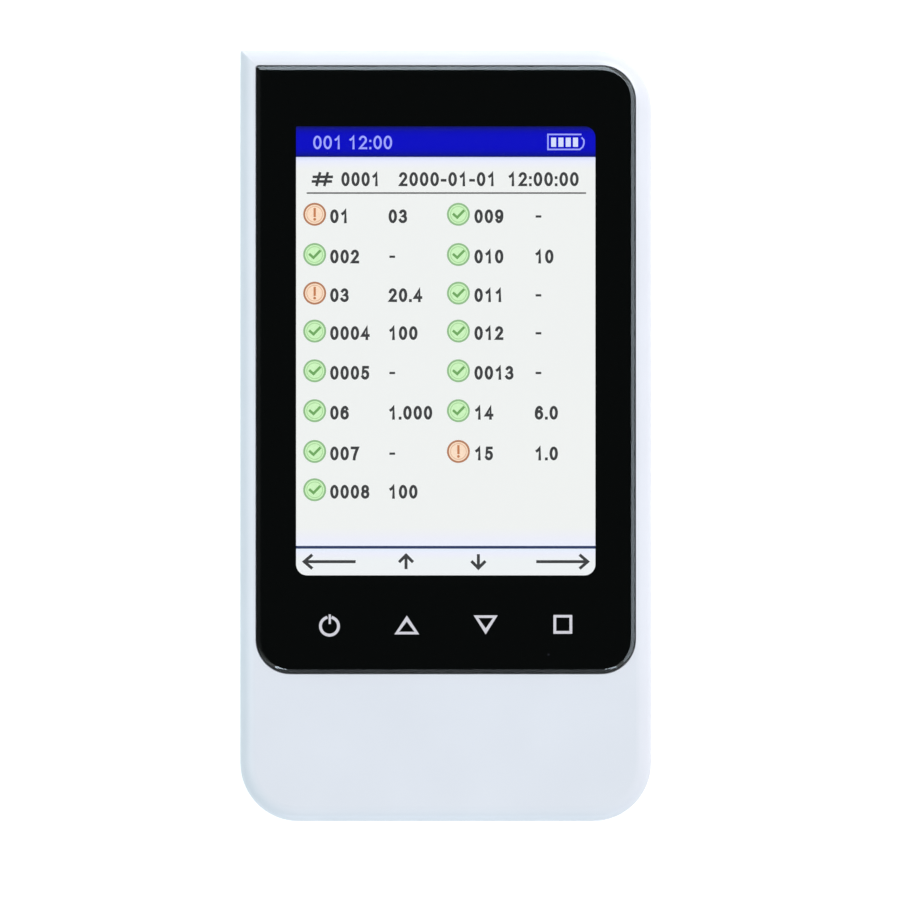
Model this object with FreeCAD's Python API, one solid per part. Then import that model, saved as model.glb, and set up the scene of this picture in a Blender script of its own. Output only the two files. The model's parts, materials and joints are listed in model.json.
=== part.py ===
import FreeCAD, Part
import math
import os

from FreeCAD import Vector

# A handheld urine analyzer lying on its back. Lengths are in millimetres.
# X is the width, Y the length towards the charging socket, Z the depth from the feet up to the glass.
# X and Y are 0 at the middle of the case, and Z is 0 under the rubber feet.

# Case
case_width = 67.4
case_length = 126.4
case_depth = 29.2
wall = 2.0
corner_radius = 9.6
square_corner_radius = 0.5
front_edge_radius = 2.6
back_edge_radius = 3.0
lip_height = 1.0
lip_thickness = 0.8
lip_gap = 0.1
seam_depth = 0.3
seam_height = 0.2
rib_thickness = 1.2
floor_rib_height = 1.4
floor_rib_count = 4
floor_rib_pitch = 8.0
floor_rib_offset = 5.0
chin_rib_pitch = 8.0
chin_rib_height = 1.2
overrun = 1.0
same = 0.001

# Rubber feet
foot_radius = 3.2
foot_proud = 0.8
foot_edge_inset = 7.1
foot_end_inset = 7.6

# Cover glass, its printed mask and its adhesive
glass_side_inset = 2.7
glass_top_inset = 2.7
glass_bottom_inset = 24.3
glass_corner_radius = 5.6
glass_square_corner_radius = 0.4
glass_thickness = 1.1
glass_proud = 0.6
glass_bevel = 0.7
glass_gap = 0.12
mask_thickness = 0.1
adhesive_thickness = 0.2
adhesive_width = 2.0

# Display; the lit screen comes out as the common 48.96 by 73.44
screen_side_margin = 6.52
screen_bottom_margin = 16.06
screen_from_top = 12.6
screen_corner_radius = 1.8
display_side_border = 3.0
display_bottom_border = 2.6
display_top_border = 7.6
display_cell_thickness = 1.4
display_tray_thickness = 1.45
display_tray_wall = 0.6
display_fit = 0.2
gasket_thickness = 0.25
gasket_width = 1.6
display_ribbon_width = 13.0
display_ribbon_offset = 15.0
display_ribbon_bulge = 1.2

# Touch keys
key_count = 4
key_pitch = 12.72
key_from_bottom = 32.3
key_hole_size = 6.4
key_post_size = 2.4
key_guide_gap = 0.15
key_guide_flange = 0.5
key_guide_flange_thickness = 0.4
key_lamp_size = 1.6
key_lamp_height = 0.5
key_board_thickness = 0.8
key_board_margin = 1.4
key_board_drop = 1.2
key_ribbon_width = 8.0

# Strip tray
tray_width = 14.0
tray_end_from_top = 9.6
tray_thickness = 4.0
tray_kept_in = 43.0
tongue_width = 1.2
tongue_thickness = 0.9
channel_width = 5.5
channel_depth = 1.5
channel_flare = 0.4
channel_front_margin = 4.0
channel_end_margin = 5.5
drain_width = 0.8
drain_depth = 0.5
drain_pitch = 10.0
tile_length = 5.0
tile_depth = 0.8
tray_pocket_depth = 1.2
thumb_radius = 5.0
thumb_depth = 0.5
thumb_from_start = 13.0
tray_pocket_length = 14.0
tray_rib = 1.2
tray_front_margin_x = 3.4
tray_front_margin_z = 0.8
tray_front_thickness = 1.8
tray_front_radius = 1.0
tray_front_gap = 0.3
grip_depth = 0.5
grip_width = 10.0
grip_height = 1.6
flag_reach = 4.2
flag_thickness = 0.8
flag_length = 3.0
flag_from_end = 2.6

# Inner frame with the tray's rails
slide_gap = 0.15
rail_wall = 1.2
rail_lip = 0.7
rail_over_tongue = 0.9
frame_thickness = 1.4
frame_side_gap = 0.35
frame_end_gap = 0.3
frame_end_margin = 1.6
frame_corner_cut = 2.0
frame_rib_height = 0.8

# Rack, drive gear and motor pinion
gear_module = 0.75
pressure_angle = 20.0
pinion_teeth = 12
flank_steps = 2
tooth_thinning = 0.06
mesh_gap = 0.05
tip_relief_share = 0.02
root_clearance_share = 0.25
rack_back = 1.3
rack_spare_teeth = 3
rack_over_rail = 0.25
gear_inset = 0.15
gear_wall_gap = 3.2
gear_from_bottom = 21.2
gear_hub_radius = 2.6
axle_radius = 1.0
axle_running_fit = 0.05
axle_head_radius = 1.8
axle_head_height = 0.6
axle_head_gap = 0.1
shaft_radius = 0.75
shaft_tip = 0.4
shaft_depth = 4.0

# Stepping motor
motor_radius = 7.5
motor_wall_gap = 2.4
motor_floor_gap = 0.6
motor_boss_radius = 2.5
motor_boss_gap = 0.1
motor_flange_thickness = 0.8
motor_flange_width = 4.6
motor_flange_length = 23.8
motor_terminal_width = 6.0
motor_terminal_depth = 1.6
motor_terminal_height = 4.0
motor_ribbon_width = 4.5

# Holes and bosses of the two screws that close the case, and the play of small seats
seat_gap = 0.05
case_screw_radius = 0.8
case_screw_head = 1.55
case_screw_recess = 4.0
case_screw_bite = 6.0
case_boss_wall = 1.1
case_boss_inset = 1.7
case_boss_from_bottom = 17.2
head_recess = 0.25

# Hooks that hold the front shell's top end
hook_from_top = 24.0
hook_width = 6.0
hook_thickness = 1.2
hook_drop = 3.0
hook_nib = 0.5
hook_nib_height = 0.8
hook_gap = 0.15

# Posts that carry the frame, the main board and the optics
post_size = 4.0
post_edge_inset = 9.5
post_low_from_end = 8.2
post_high_from_end = 27.2
board_post_low_inset = 18.8
board_post_high_from_end = 12.4

# Battery, its bay and its door
battery_width = 36.0
battery_from_top = 11.0
battery_from_bottom = 65.4
battery_corner_cut = 2.0
battery_gap = 0.4
foam_thickness = 0.9
foam_inset = 4.0
door_width = 43.0
door_past_battery = 8.0
door_thickness = 1.6
door_gap = 0.15
door_corner_radius = 2.0
door_tongue_width = 1.2
door_tongue_thickness = 0.8
door_tongue_setback = 6.0
door_grip_count = 5
door_grip_pitch = 2.4
door_grip_width = 1.2
door_grip_length = 16.0
door_grip_depth = 0.4
door_grip_from_end = 8.0
land_thickness = 1.0
land_margin = 1.3
contact_count = 3
contact_width_share = 0.54
contact_edge = 1.1
contact_rack_gap = 0.3
contact_thickness = 0.3
contact_space = 2.4
contact_pad_depth = 0.3
contact_bow = 2.0
contact_gap = 0.1

# Main board and what it carries
board_thickness = 1.6
board_under_display = 4.25
board_over_tray = 1.9
board_top_gap = 1.5
board_below_screen = 11.0
board_corner_cut = 3.0
chip_size = 12.0
chip_height = 1.2
chip_below_middle = 6.0
memory_width = 8.0
memory_length = 6.0
memory_height = 0.9
memory_gap = 6.0
small_chip_size = 4.0
small_chip_height = 1.0
small_chip_count = 4
small_chip_pitch = 7.0
coil_count = 2
coil_size = 5.0
coil_height = 2.4
connector_height = 1.2
connector_length = 2.6
buzzer_size = 9.0
buzzer_height = 3.0
socket_width = 7.6
socket_height = 2.7
socket_length = 5.8
socket_wall = 0.35
socket_tongue = 0.6
socket_recess = 1.0
socket_opening_gap = 0.45
socket_radius = 0.5

# Tray position sensor
sensor_length = 4.0
sensor_arm = 1.1
sensor_slot_gap = 0.5
sensor_back = 2.0
sensor_pin = 0.6
sensor_overlap = 1.6

# Optics over the tray
head_width = 22.0
head_length = 21.0
head_height = 7.2
head_over_tray = 0.7
head_wall = 1.4
head_from_bottom = 14.2
head_ear_width = 4.8
head_ear_thickness = 1.6
head_ear_offset_x = 13.4
head_ear_offset_y = 8.4
aperture_width = 6.0
aperture_length = 8.0
window_margin = 1.2
window_thickness = 0.8
sensor_board_thickness = 0.8
sensor_board_inset = 0.4
lamp_ring_radius = 5.0
lamp_count = 6
lamp_size = 1.4
lamp_height = 0.6
photodiode_size = 3.2
photodiode_height = 0.9
sensor_ribbon_width = 6.0

# Ribbons
ribbon_thickness = 0.15
ribbon_bend = 0.9
ribbon_lift = 0.7

# Places worked out from the sizes
half_width = case_width / 2
half_length = case_length / 2
back = foot_proud
front = back + case_depth
floor_top = back + wall
ceiling = front - wall

glass_left = -half_width + glass_side_inset
glass_right = half_width - glass_side_inset
glass_low = -half_length + glass_bottom_inset
glass_high = half_length - glass_top_inset
glass_top = front + glass_proud
glass_bottom = glass_top - glass_thickness
mask_bottom = glass_bottom - mask_thickness
ledge_top = mask_bottom - adhesive_thickness

screen_width = glass_right - glass_left - 2 * screen_side_margin
screen_high = half_length - screen_from_top
screen_low = glass_low + screen_bottom_margin
display_half_width = screen_width / 2 + display_side_border
display_low = screen_low - display_bottom_border
display_high = screen_high + display_top_border
cell_top = mask_bottom - gasket_thickness
cell_bottom = cell_top - display_cell_thickness
display_bottom = cell_bottom - display_tray_thickness

key_y = -half_length + key_from_bottom
key_xs = [(n - (key_count - 1) / 2) * key_pitch for n in range(key_count)]
key_board_top = ceiling - key_board_drop
key_board_bottom = key_board_top - key_board_thickness
key_board_length = key_hole_size + 2 * key_board_margin
key_board_width = 2 * key_xs[-1] + key_board_length
key_board_end = key_y - key_board_length / 2

board_top = display_bottom - board_under_display
board_bottom = board_top - board_thickness
board_low = screen_low - board_below_screen
board_high = half_length - wall - board_top_gap

tray_top = board_bottom - board_over_tray
tray_bottom = tray_top - tray_thickness
tray_middle = tray_bottom + tray_thickness / 2
frame_top = tray_bottom - slide_gap
frame_bottom = frame_top - frame_thickness
tongue_top = tray_bottom + tongue_thickness
rail_top = tongue_top + slide_gap + rail_lip
rail_inner = tray_width / 2 + tongue_width + slide_gap
rail_outer = rail_inner + rail_wall
tray_start = -half_length + tray_front_thickness
tray_end = half_length - tray_end_from_top
tray_length = tray_end - tray_start
tray_travel = tray_length - tray_kept_in
front_half_width = tray_width / 2 + tray_front_margin_x
frame_low = -half_length + wall + frame_end_gap
frame_high = tray_end + frame_end_margin
split = tray_middle

door_top = back + door_thickness
land_top = door_top + door_gap + land_thickness
battery_bottom = door_top + 2 * door_gap
battery_top = frame_bottom - foam_thickness
battery_thickness = battery_top - battery_bottom
battery_high = half_length - battery_from_top
battery_low = battery_from_bottom - half_length
bay_half_width = battery_width / 2 + battery_gap
bay_low = battery_low - contact_space
bay_high = battery_high + battery_gap
door_end = battery_low - door_past_battery

rack_bottom = rail_top + rack_over_rail
rack_top = tray_top
rack_root = tray_width / 2 + rack_back
pitch_line = rack_root + (1 + root_clearance_share) * gear_module
gear_room = half_width - wall - gear_wall_gap - pitch_line - mesh_gap
drive_teeth = int(gear_room / gear_module) - 1
drive_radius = drive_teeth * gear_module / 2
pinion_radius = pinion_teeth * gear_module / 2
tooth_pitch = math.pi * gear_module
gear_x = pitch_line + drive_radius + mesh_gap
gear_y = -half_length + gear_from_bottom
gear_bottom = rack_bottom + gear_inset
gear_top = rack_top - gear_inset
motor_distance = drive_radius + pinion_radius + mesh_gap
motor_reach = half_width - wall - motor_wall_gap - motor_radius - gear_x
pinion_steps = round(math.acos(-motor_reach / motor_distance) * drive_teeth / math.tau)
pinion_angle = 180.0 - pinion_steps * 360.0 / drive_teeth
motor_x = gear_x + motor_distance * math.cos(math.radians(pinion_angle))
motor_y = gear_y + motor_distance * math.sin(math.radians(pinion_angle))
motor_height = frame_bottom - floor_top - motor_floor_gap
motor_face = motor_x - motor_radius - motor_terminal_depth

post_x = half_width - post_edge_inset
post_low_y = -half_length + post_low_from_end
post_high_y = half_length - post_high_from_end
frame_posts = [(side * post_x, y) for y in (post_low_y, post_high_y) for side in (-1, 1)]
board_post_ys = (board_low + board_post_low_inset, half_length - board_post_high_from_end)
board_posts = [(side * post_x, y) for y in board_post_ys for side in (-1, 1)]
case_boss_x = half_width - wall - case_boss_inset
low_boss_size = 2 * (case_screw_head + case_boss_wall)
high_boss_size = 2 * (case_screw_radius + case_boss_wall)
frame_half_width = case_boss_x - low_boss_size / 2 - frame_side_gap
case_bosses = [(side * case_boss_x, case_boss_from_bottom - half_length) for side in (-1, 1)]
hook_face = half_width - wall - hook_gap
hook_y = half_length - hook_from_top
hook_low = split - hook_drop
screw_seat = back + case_screw_recess
foot_x = half_width - foot_edge_inset
foot_y = half_length - foot_end_inset
feet = [(x * foot_x, y * foot_y) for y in (-1, 1) for x in (-1, 1)]

head_y = -half_length + head_from_bottom
head_bottom = tray_top + head_over_tray
head_top = head_bottom + head_height
head_floor = head_bottom + head_ear_thickness
head_ears = [(-head_ear_offset_x, head_y - head_ear_offset_y),
             (head_ear_offset_x, head_y - head_ear_offset_y),
             (-head_ear_offset_x, head_y + head_ear_offset_y)]
flag_high = tray_end - flag_from_end
flag_middle = flag_high - flag_length / 2
flag_bottom = rack_bottom
contact_start = pitch_line + gear_module + contact_rack_gap
contact_room = battery_width / 2 - contact_edge - contact_start
contact_pitch = contact_room / (contact_count - 1 + contact_width_share)
contact_width = contact_width_share * contact_pitch
contact_xs = [contact_start + contact_width / 2 + n * contact_pitch for n in range(contact_count)]


def corner(before, point, after, radius):
    """The start, middle and end of the arc that rounds one corner of an outline."""
    back_way = (before - point).normalize()
    on_way = (after - point).normalize()
    half_angle = back_way.getAngle(on_way) / 2
    reach = radius / math.tan(half_angle)
    inward = (back_way + on_way).normalize()
    depth = radius / math.sin(half_angle) - radius
    return point + back_way * reach, point + inward * depth, point + on_way * reach


def path_edges(points, radii, closed):
    """Straight runs joined by tangent arcs, along points in space."""
    count = len(points)
    stops = []
    for n, (point, radius) in enumerate(zip(points, radii)):
        if radius > 0 and (closed or 0 < n < count - 1):
            stops.append(corner(points[n - 1], point, points[(n + 1) % count], radius))
        else:
            stops.append((point, None, point))
    edges = []
    for n, (start, middle, end) in enumerate(stops):
        if middle is not None:
            edges.append(Part.Arc(start, middle, end).toShape())
        following = stops[(n + 1) % count][0]
        if closed or n < count - 1:
            edges.append(Part.LineSegment(end, following).toShape())
    return edges


def prism(points, radii, rise):
    """A closed outline with rounded corners, drawn out along a vector."""
    return Part.Face(Part.Wire(path_edges(points, radii, True))).extrude(rise)


def block(x0, x1, y0, y1, z0, z1, radius=0):
    """An upright block whose four vertical edges can be rounded."""
    points = [Vector(x0, y0, z0), Vector(x1, y0, z0), Vector(x1, y1, z0), Vector(x0, y1, z0)]
    return prism(points, [radius] * len(points), Vector(0, 0, z1 - z0))


def brick(x, y, width, length, z0, z1):
    """A block centred on an upright axis."""
    return block(x - width / 2, x + width / 2, y - length / 2, y + length / 2, z0, z1)


def cut_block(x, y0, y1, z0, z1, cut):
    """A block centred across the width, with its four corners cut off at 45 degrees."""
    ends = [(cut - x, y0), (x - cut, y0), (x - cut, y1), (cut - x, y1)]
    sides = [(x, y0 + cut), (x, y1 - cut), (-x, y1 - cut), (-x, y0 + cut)]
    outline = ends[:2] + sides[:2] + ends[2:] + sides[2:]
    return prism([Vector(place, y, z0) for place, y in outline], [0] * len(outline), Vector(0, 0, z1 - z0))


def end_block(x0, x1, z0, z1, y0, y1, radius):
    """A block along Y whose four long edges are rounded."""
    points = [Vector(x0, y0, z0), Vector(x1, y0, z0), Vector(x1, y0, z1), Vector(x0, y0, z1)]
    return prism(points, [radius] * len(points), Vector(0, y1 - y0, 0))


def post(x, y, z0, z1, radius):
    """An upright cylinder."""
    return Part.makeCylinder(radius, z1 - z0, Vector(x, y, z0))


def joined(shapes):
    """One solid from several that touch or overlap."""
    first, *rest = shapes
    return first.fuse(rest).removeSplitter() if rest else first


def group(shapes):
    """Separate solids kept side by side in one node."""
    return Part.makeCompound(shapes)


def edges_at(shape, height):
    """The edges of a shape that lie flat at one height."""
    boxes = [(edge, edge.BoundBox) for edge in shape.Edges]
    return [edge for edge, box in boxes if max(abs(box.ZMin - height), abs(box.ZMax - height)) < same]


def case_block(inset, z0, z1):
    """A block with the case's outline, moved inwards by an inset."""
    x = half_width - inset
    y = half_length - inset
    points = [Vector(-x, -y, z0), Vector(x, -y, z0), Vector(x, y, z0), Vector(-x, y, z0)]
    radius = max(corner_radius - inset, 0)
    return prism(points, [radius, radius, radius, 0], Vector(0, 0, z1 - z0))


def case_solid():
    """The whole outside form of the case, with its softened edges."""
    body = case_block(0, back, front)
    body = body.makeFillet(front_edge_radius, edges_at(body, front))
    body = body.makeFillet(back_edge_radius, edges_at(body, back))
    beyond = case_depth + 2 * overrun
    low = back - overrun
    return body.cut(corner_waste(-half_width, half_length, 1, -1, square_corner_radius, low, low + beyond))


def corner_waste(x, y, way_x, way_y, radius, z0, z1):
    """What is cut off to round one upright edge; the ways point into the solid."""
    xs = sorted((x - way_x * overrun, x + way_x * radius))
    ys = sorted((y - way_y * overrun, y + way_y * radius))
    return block(*xs, *ys, z0, z1).cut(post(x + way_x * radius, y + way_y * radius, z0, z1, radius))


def glass_block(inset, z0, z1, square_radius=glass_square_corner_radius):
    """A block with the outline of the cover glass, moved inwards by an inset."""
    points = [
        Vector(glass_left + inset, glass_low + inset, z0),
        Vector(glass_right - inset, glass_low + inset, z0),
        Vector(glass_right - inset, glass_high - inset, z0),
        Vector(glass_left + inset, glass_high - inset, z0),
    ]
    radius = max(glass_corner_radius - inset, 0)
    square = max(square_radius - inset, 0)
    return prism(points, [radius, radius, radius, square], Vector(0, 0, z1 - z0))


def display_block(inset, z0, z1):
    """A block with the outline of the display module, moved inwards by an inset."""
    x = display_half_width - inset
    return block(-x, x, display_low + inset, display_high - inset, z0, z1)


def tray_slot():
    """The opening in the bottom end that the tray leaves through."""
    x = front_half_width + tray_front_gap
    z0 = tray_bottom - tray_front_margin_z - tray_front_gap
    z1 = tray_top + tray_front_margin_z + tray_front_gap
    inside = -half_length + wall + overrun
    return end_block(-x, x, z0, z1, -half_length - overrun, inside, tray_front_radius + tray_front_gap)


def door_plate(gap, z0, z1, tongue_end):
    """The battery door's plate and side tongues, grown by a gap on every free side."""
    x = door_width / 2 + gap
    y = door_end - gap
    radius = door_corner_radius + gap
    beyond = half_length + overrun
    points = [Vector(-x, y, z0), Vector(x, y, z0), Vector(x, beyond, z0), Vector(-x, beyond, z0)]
    plate = prism(points, [radius, radius, 0, 0], Vector(0, 0, z1 - z0))
    tongue_x = x + door_tongue_width
    tongue_y = door_end + door_tongue_setback - gap
    tongue_low = door_top - door_tongue_thickness - gap
    tongues = block(-tongue_x, tongue_x, tongue_y, tongue_end, tongue_low, z1)
    return plate, tongues


def hook_parts(side, gap):
    """One hook's tab and its nib, grown by a gap where the rear shell takes it in."""
    length = hook_width + 2 * gap
    inner, outer = sorted((side * (hook_face - hook_thickness), side * hook_face))
    root, tip = sorted((side * (hook_face - hook_thickness / 2), side * (hook_face + hook_nib + gap)))
    low = hook_y - length / 2
    tab = block(inner, outer, low, low + length, hook_low, ceiling)
    nib = block(root, tip, low, low + length, hook_low - gap, hook_low + hook_nib_height + gap)
    return tab, nib


def lip_ring(outer, inner, height):
    """A ring that stands on the parting plane inside the case wall."""
    return case_block(outer, split, split + height).cut(case_block(inner, split, split + height))


def seam_ring():
    """The waste of the fine step along the parting line."""
    low = split - seam_height
    return case_block(-overrun, low, split).cut(case_block(seam_depth, low, split))


def rear_shell():
    """The rear half of the case with its bosses, battery bay and door grooves."""
    far = half_length + overrun
    half = block(-far, far, -far, far, back - overrun, split)
    shell = case_solid().common(half).cut(case_block(wall, floor_top, front))
    land_x = door_width / 2 + door_gap + door_tongue_width + land_margin
    land_low = door_end - door_gap - land_margin
    bay_x = bay_half_width + rib_thickness
    adds = [
        lip_ring(wall - lip_thickness, wall, lip_height),
        block(-land_x, land_x, land_low, half_length - wall, floor_top, land_top),
        block(-bay_x, bay_x, bay_low - rib_thickness, bay_high + rib_thickness, floor_top, frame_bottom),
    ]
    adds += [brick(x, y, low_boss_size, low_boss_size, floor_top, split) for x, y in case_bosses]
    adds += [brick(x, y, post_size, post_size, floor_top, frame_bottom) for x, y in frame_posts]
    for n in range(floor_rib_count):
        x = (n - (floor_rib_count - 1) / 2) * floor_rib_pitch - floor_rib_offset
        adds.append(block(x - rib_thickness / 2, x + rib_thickness / 2, -half_length + wall, land_low,
                          floor_top, floor_top + floor_rib_height))
    shell = joined([shell] + adds)
    cuts = [tray_slot(), seam_ring()]
    cuts += [hook_parts(side, hook_gap)[1] for side in (-1, 1)]
    cuts.append(block(-bay_half_width, bay_half_width, bay_low, bay_high, back - overrun, front))
    cuts += door_plate(door_gap, back - overrun, door_top + door_gap, far)
    for x, y in case_bosses:
        cuts.append(post(x, y, back - overrun, screw_seat, case_screw_head + head_recess))
        cuts.append(post(x, y, screw_seat, front, case_screw_radius + seat_gap))
    return shell.cut(cuts)


def front_shell():
    """The front half of the case with the glass recess and its openings."""
    far = half_length + overrun
    half = block(-far, far, -far, far, split, front + overrun)
    shell = case_solid().common(half).cut(case_block(wall, back, ceiling))
    adds = [brick(x, y, high_boss_size, high_boss_size, split, ceiling) for x, y in case_bosses]
    for side in (-1, 1):
        adds += hook_parts(side, 0)
        adds.append(brick(side * key_pitch, key_y, key_post_size, key_post_size, key_board_top, ceiling))
        for n in (1, 2):
            x = side * (head_width / 2 + n * chin_rib_pitch - chin_rib_pitch / 2)
            adds.append(block(x - rib_thickness / 2, x + rib_thickness / 2, -half_length + wall,
                              key_board_end - rib_thickness, ceiling - chin_rib_height, ceiling))
    shell = joined([shell] + adds)
    room = display_fit
    cuts = [
        glass_block(-glass_gap, ledge_top, front + overrun),
        display_block(-room, ceiling - overrun, ledge_top + overrun),
        tray_slot(),
        lip_ring(wall - lip_thickness - lip_gap, wall + lip_gap, lip_height + lip_gap),
    ]
    cuts += [brick(x, key_y, key_hole_size, key_hole_size, ceiling - overrun, front) for x in key_xs]
    cuts += [post(x, y, split, split + case_screw_bite + head_recess, case_screw_radius + seat_gap)
             for x, y in case_bosses]
    cuts.append(socket_opening())
    return shell.cut(cuts)


def socket_opening():
    """The hole for the charging plug."""
    x = socket_width / 2 + socket_opening_gap
    z0 = board_top - socket_opening_gap
    z1 = board_top + socket_height + socket_opening_gap
    radius = socket_radius + socket_opening_gap
    return end_block(-x, x, z0, z1, half_length - wall - overrun, half_length + overrun, radius)


def cover_glass():
    """The one glass over the screen and the keys, with a polished bevel."""
    glass = glass_block(0, glass_bottom, glass_top, 0)
    glass = glass.makeChamfer(glass_bevel, edges_at(glass, glass_top))
    low = glass_bottom - overrun
    high = glass_top + overrun
    return glass.cut(corner_waste(glass_left, glass_high, 1, -1, glass_square_corner_radius, low, high))


def printed_mask():
    """The black print behind the glass, open over the screen."""
    x = screen_width / 2
    points = [Vector(-x, screen_low, mask_bottom), Vector(x, screen_low, mask_bottom),
              Vector(x, screen_high, mask_bottom), Vector(-x, screen_high, mask_bottom)]
    radius = screen_corner_radius
    window = prism(points, [radius, radius, radius, 0], Vector(0, 0, mask_thickness))
    return glass_block(0, mask_bottom, glass_bottom).cut(window)


def glass_adhesive():
    """The adhesive frame that holds the glass on its ledge."""
    inside = block(glass_left + adhesive_width, glass_right - adhesive_width, glass_low + adhesive_width,
                   glass_high - adhesive_width, ledge_top, mask_bottom)
    return glass_block(0, ledge_top, mask_bottom).cut(inside)


def display_cell():
    """The liquid crystal cell."""
    return display_block(display_tray_wall + seat_gap, cell_bottom, cell_top)


def display_backlight():
    """The backlight tray that holds the cell."""
    pocket = display_block(display_tray_wall, cell_bottom, cell_top)
    return display_block(0, display_bottom, cell_top).cut(pocket)


def display_gasket():
    """The foam frame between the display and the print."""
    return display_block(0, cell_top, mask_bottom).cut(display_block(gasket_width, cell_top, mask_bottom))


def key_board():
    """The board with the touch sensors."""
    return brick(0, key_y, key_board_width, key_board_length, key_board_bottom, key_board_top)


def key_lamps():
    """One small lamp under each key icon."""
    top = key_board_top + key_lamp_height
    return group([brick(x, key_y, key_lamp_size, key_lamp_size, key_board_top, top) for x in key_xs])


def key_guides():
    """The clear cups that carry each lamp's light to its icon."""
    guides = []
    inside = key_board_top + key_lamp_height + key_guide_flange_thickness
    wide = key_hole_size + 2 * key_guide_flange
    narrow = key_hole_size - 2 * key_guide_gap
    room = key_hole_size - 2 * key_guide_flange
    for x in key_xs:
        flange = brick(x, key_y, wide, wide, key_board_top, ceiling)
        stem = brick(x, key_y, narrow, narrow, ceiling, mask_bottom)
        hollow = brick(x, key_y, room, room, key_board_top, inside)
        guides.append(joined([flange, stem]).cut(hollow))
    return group(guides)


def shifted_path(points, distance):
    """A path in the YZ plane moved sideways, with its corners kept sharp."""
    normals = []
    for start, end in zip(points, points[1:]):
        along = (end - start).normalize()
        normals.append(Vector(0, -along.z, along.y))
    moved = [points[0] + normals[0] * distance]
    for point, before, after in zip(points[1:], normals, normals[1:]):
        moved.append(point + (before + after) * (distance / (1 + before.dot(after))))
    return moved + [points[-1] + normals[-1] * distance]


def ribbon(x, width, thickness, bend, route):
    """A flat strip of one thickness that follows a route of Y and Z places."""
    points = [Vector(x - width / 2, y, z) for y, z in route]
    sides = []
    for side in (-1, 1):
        radii = [0]
        for before, point, after in zip(points, points[1:], points[2:]):
            turn = (point - before).cross(after - point).x
            radii.append(bend - math.copysign(thickness / 2, side * turn))
        sides.append((shifted_path(points, side * thickness / 2), radii + [0]))
    right = path_edges(sides[0][0], sides[0][1], False)
    left = path_edges(sides[1][0], sides[1][1], False)
    ends = [Part.LineSegment(sides[0][0][n], sides[1][0][n]).toShape() for n in (0, -1)]
    wire = Part.Wire(Part.__sortEdges__(right + left + ends))
    return Part.Face(wire).extrude(Vector(width, 0, 0))


def display_ribbon():
    """The display's ribbon, folded back onto the main board."""
    z_high = display_bottom - ribbon_thickness / 2
    z_low = board_top + connector_height / 2
    fold = display_high + display_ribbon_bulge
    start = display_high - display_top_border
    return ribbon(-display_ribbon_offset, display_ribbon_width, ribbon_thickness, ribbon_bend,
                  [(start, z_high), (fold, z_high), (fold, z_low), (start, z_low)])


def key_ribbon():
    """The key board's ribbon, folded back onto the main board."""
    z_high = key_board_bottom - ribbon_thickness / 2
    z_low = board_top + connector_height / 2
    fold = key_board_end - 2 * ribbon_lift
    return ribbon(-display_ribbon_offset, key_ribbon_width, ribbon_thickness, ribbon_bend,
                  [(key_y, z_high), (fold, z_high), (fold, z_low), (board_low + connector_length, z_low)])


def sensor_ribbon():
    """The optics' ribbon down to the main board."""
    z_high = head_top + sensor_board_thickness + ribbon_thickness / 2
    z_low = board_top + connector_height / 2
    fold = head_y + head_length / 2 + ribbon_lift + ribbon_bend / 2
    return ribbon(0, sensor_ribbon_width, ribbon_thickness, ribbon_bend,
                  [(head_y + head_length / 4, z_high), (fold, z_high), (fold, z_low),
                   (board_low + connector_length, z_low)])


def tray_outline(points, y0, y1):
    """A cross-section of X and Z places drawn out along the tray."""
    return prism([Vector(x, y0, z) for x, z in points], [0] * len(points), Vector(0, y1 - y0, 0))


def strip_tray():
    """The tray: runners at its foot, strip channel on top, pockets below."""
    side = tray_width / 2
    foot = side + tongue_width
    tray = tray_outline([(-foot, tray_bottom), (foot, tray_bottom), (foot, tongue_top), (side, tongue_top),
                         (side, tray_top), (-side, tray_top), (-side, tongue_top), (-foot, tongue_top)],
                        tray_start, tray_end)
    flag = block(-side - flag_reach, -side + rib_thickness, flag_high - flag_length, flag_high,
                 flag_bottom, flag_bottom + flag_thickness)
    tray = joined([tray, flag])
    floor = tray_top - channel_depth
    half = channel_width / 2
    wide = half + channel_flare
    above = tray_top + overrun
    y0 = tray_start + channel_front_margin
    y1 = tray_end - channel_end_margin
    cuts = [tray_outline([(-half, floor), (half, floor), (wide, tray_top), (wide, above), (-wide, above),
                          (-wide, tray_top)], y0, y1)]
    drain_count = int((y1 - y0 - tile_length) / drain_pitch)
    for n in range(drain_count):
        y = y0 + (n + 1 / 2) * drain_pitch
        cuts.append(block(-half, half, y, y + drain_width, floor - drain_depth, tray_top))
    cuts.append(block(-half, half, y1 - tile_length, y1, floor - tile_depth, tray_top))
    cuts.append(post(0, tray_start + thumb_from_start, floor - thumb_depth, above, thumb_radius))
    step = tray_pocket_length + tray_rib
    for n in range(int((tray_length - tray_rib) / step)):
        y = tray_start + tray_rib + n * step
        cuts.append(block(-side + tray_rib, side - tray_rib, y, y + tray_pocket_length,
                          tray_bottom - overrun, tray_bottom + tray_pocket_depth))
    return tray.cut(cuts)


def tray_front():
    """The plate that closes the slot, with a shallow grip."""
    plate = end_block(-front_half_width, front_half_width, tray_bottom - tray_front_margin_z,
                      tray_top + tray_front_margin_z, -half_length, tray_start, tray_front_radius)
    grip = block(-grip_width / 2, grip_width / 2, -half_length - overrun, -half_length + grip_depth,
                 tray_middle - grip_height / 2, tray_middle + grip_height / 2)
    return plate.cut(grip)


def reference_tile():
    """The white tile that the optics read before each strip."""
    half = channel_width / 2 - seat_gap
    y1 = tray_end - channel_end_margin
    floor = tray_top - channel_depth - tile_depth
    return block(-half, half, y1 - tile_length + seat_gap, y1 - seat_gap, floor, floor + tile_depth)


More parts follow.
